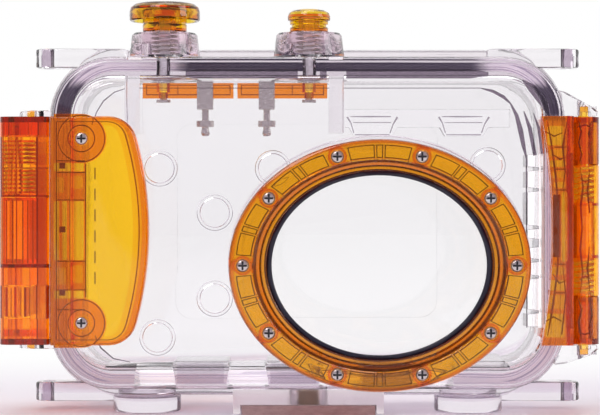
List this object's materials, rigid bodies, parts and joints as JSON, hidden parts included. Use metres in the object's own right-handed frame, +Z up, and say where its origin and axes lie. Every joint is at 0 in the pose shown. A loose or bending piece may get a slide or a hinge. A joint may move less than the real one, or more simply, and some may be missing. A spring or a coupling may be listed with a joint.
{
  "type": "underwater camera housing",
  "caption": "Clear waterproof case for a compact camera, with an oval lens port in an amber ring, a side-hinged rear door, a side latch and push buttons on top.",
  "frame": {"origin": "middle of the footprint, on the surface that the case stands on", "axes": "+X to the right across the front as the lens looks at the viewer, +Y from the port to the rear door, +Z up to the buttons"},
  "size_m": [0.1624, 0.076, 0.1132],
  "materials": {
    "clear_case": "clear moulded polycarbonate, polished",
    "amber_plastic": "translucent amber moulded plastic, polished",
    "port_glass": "polished flat glass",
    "seal_rubber": "smooth black silicone rubber",
    "bright_steel": "stainless steel, turned",
    "plate_metal": "brown-grey anodised plate",
    "brass": "turned brass"
  },
  "bodies": {
    "front_half": {"front_case": "clear_case", "camera_tray": "clear_case", "side_rack": "clear_case", "top_rack": "clear_case", "port_glass": "port_glass", "port_gasket": "seal_rubber", "port_ring": "amber_plastic", "port_screw_01": "bright_steel", "port_screw_02": "bright_steel", "port_screw_03": "bright_steel", "port_screw_04": "bright_steel", "port_screw_05": "bright_steel", "port_screw_06": "bright_steel", "port_screw_07": "bright_steel", "port_screw_08": "bright_steel", "port_screw_09": "bright_steel", "port_screw_10": "bright_steel", "tripod_plate": "plate_metal", "tripod_insert": "brass", "hinge_cover": "amber_plastic", "hinge_cover_screw_upper": "bright_steel", "hinge_cover_screw_lower": "bright_steel", "hinge_barrel": "amber_plastic", "hinge_pin": "amber_plastic", "hinge_spring_lower": "bright_steel", "hinge_spring_upper": "bright_steel", "latch_plate": "amber_plastic", "latch_pin": "amber_plastic", "latch_spring_lower": "bright_steel", "latch_spring_upper": "bright_steel", "shutter_spring": "bright_steel", "shutter_seal": "seal_rubber", "power_spring": "bright_steel", "power_seal": "seal_rubber"},
    "rear_door": {"rear_cover": "clear_case", "main_seal": "seal_rubber", "hinge_leaf": "amber_plastic"},
    "lever": {"latch_lever": "amber_plastic"},
    "shutter_button": {"shutter_cap": "amber_plastic", "shutter_shaft": "bright_steel", "shutter_clip": "bright_steel", "shutter_bar": "amber_plastic", "shutter_bar_screw": "bright_steel"},
    "shutter_reach": {"shutter_finger": "bright_steel"},
    "shutter_adjuster": {"shutter_tip": "bright_steel"},
    "power_button": {"power_cap": "amber_plastic", "power_shaft": "bright_steel", "power_clip": "bright_steel", "power_bar": "amber_plastic", "power_bar_screw": "bright_steel"},
    "power_reach": {"power_finger": "bright_steel"},
    "power_adjuster": {"power_tip": "bright_steel"}
  },
  "joints": [
    {"name": "door_hinge", "type": "hinge", "parent": "front_half", "child": "rear_door", "pos_m": [-0.0762, 0.018, 0.05], "axis": [0, 0, 1], "range_deg": [0, 100]},
    {"name": "latch_swing", "type": "hinge", "parent": "front_half", "child": "lever", "pos_m": [0.077, -0.01, 0.05], "axis": [0, 0, -1], "range_deg": [0, 80], "stiffness_Nm_per_rad": 0.03, "springref_deg": -20.05},
    {"name": "shutter_press", "type": "slide", "parent": "front_half", "child": "shutter_button", "axis": [0, 0, -1], "range_m": [0, 0.003], "stiffness_N_per_m": 500, "springref_m": -0.002, "deforming": ["shutter_spring"]},
    {"name": "shutter_finger_slide", "type": "slide", "parent": "shutter_button", "child": "shutter_reach", "axis": [1, 0, 0], "range_m": [-0.0055, 0.005]},
    {"name": "shutter_tip_adjust", "type": "slide", "parent": "shutter_reach", "child": "shutter_adjuster", "axis": [0, 0, 1], "range_m": [-0.0005, 0.002]},
    {"name": "power_press", "type": "slide", "parent": "front_half", "child": "power_button", "axis": [0, 0, -1], "range_m": [0, 0.003], "stiffness_N_per_m": 500, "springref_m": -0.002, "deforming": ["power_spring"]},
    {"name": "power_finger_slide", "type": "slide", "parent": "power_button", "child": "power_reach", "axis": [1, 0, 0], "range_m": [-0.005, 0.0055]},
    {"name": "power_tip_adjust", "type": "slide", "parent": "power_reach", "child": "power_adjuster", "axis": [0, 0, 1], "range_m": [-0.0005, 0.002]}
  ]
}
